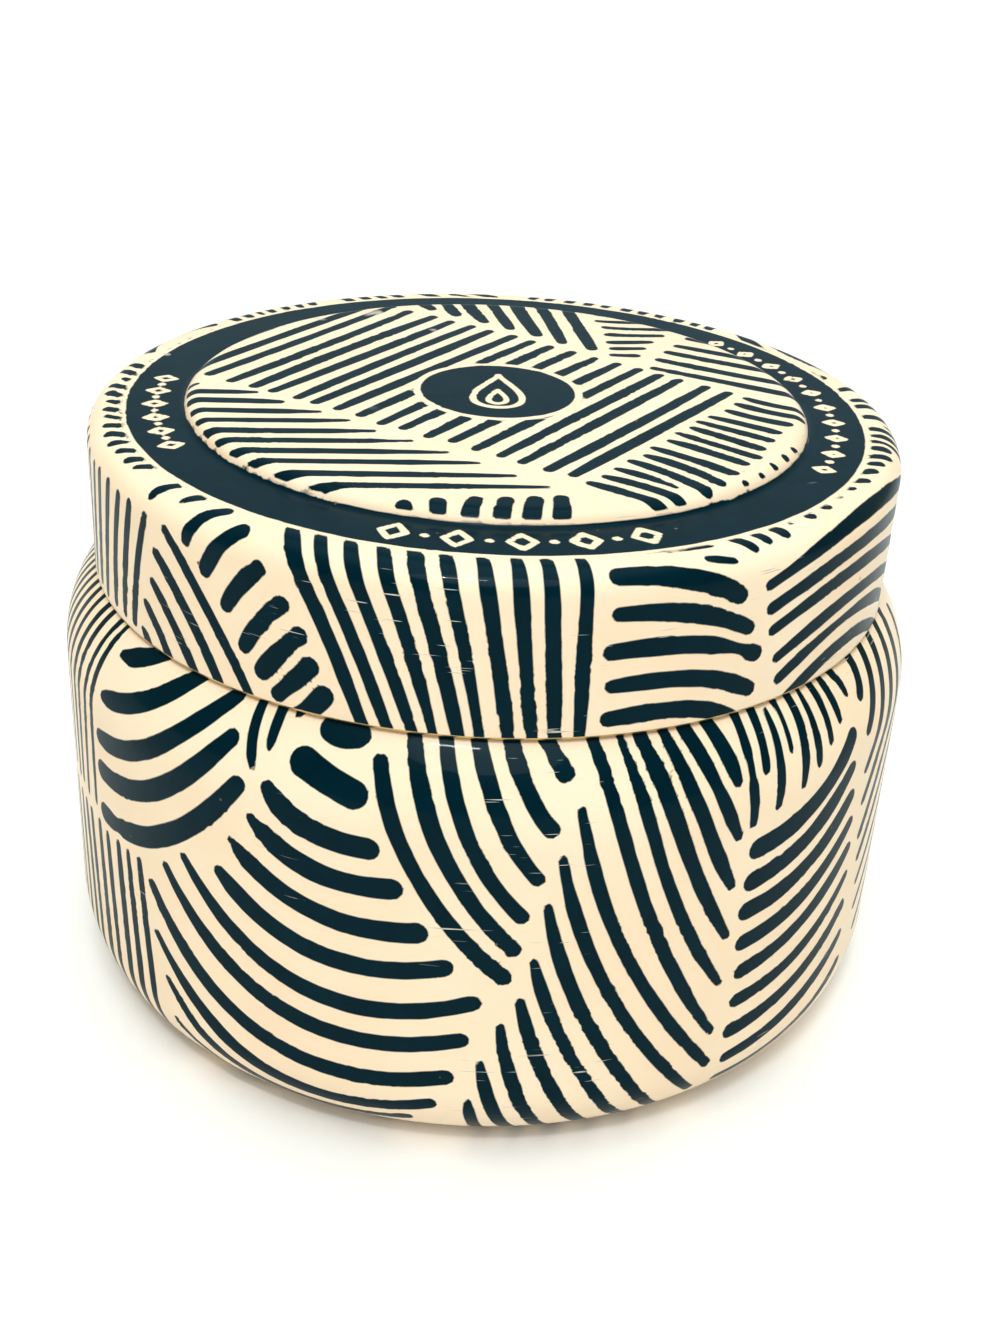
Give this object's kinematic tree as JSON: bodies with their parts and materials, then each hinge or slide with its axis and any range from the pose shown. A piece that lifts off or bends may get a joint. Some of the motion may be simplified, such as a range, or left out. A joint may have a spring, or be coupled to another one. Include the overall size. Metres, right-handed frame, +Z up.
{
  "type": "candle tin",
  "caption": "Squat round drawn tinplate candle tin with a slip-on lid, recessed base, rounded shoulder, wax fill and cotton wicks.",
  "frame": {"origin": "centre of the resting face, on the tin's axis", "axes": "+Z up along the tin's axis, towards the lid; the wicks stand on the X axis"},
  "size_m": [0.101, 0.101, 0.071],
  "materials": {
    "printed_tinplate": "lithographed strokes under gloss varnish",
    "candle_wax": "set soy wax, satin",
    "cotton_wick": "waxed braid",
    "tab_steel": "bright pressed",
    "foam_adhesive": "closed-cell foam",
    "label_paper": "uncoated paper"
  },
  "bodies": {
    "tin": {"tin_body": "printed_tinplate", "wax_fill": "candle_wax", "wick_1": "cotton_wick", "wick_2": "cotton_wick", "wick_tab_1": "tab_steel", "wick_tab_2": "tab_steel", "wick_sticker_1": "foam_adhesive", "wick_sticker_2": "foam_adhesive", "base_label": "label_paper"},
    "lid": {"lid": "printed_tinplate"}
  },
  "joints": [
    {"name": "lid_lift", "type": "slide", "parent": "tin", "child": "lid", "axis": [0, 0, 1], "range_m": [0, 0.035]}
  ]
}
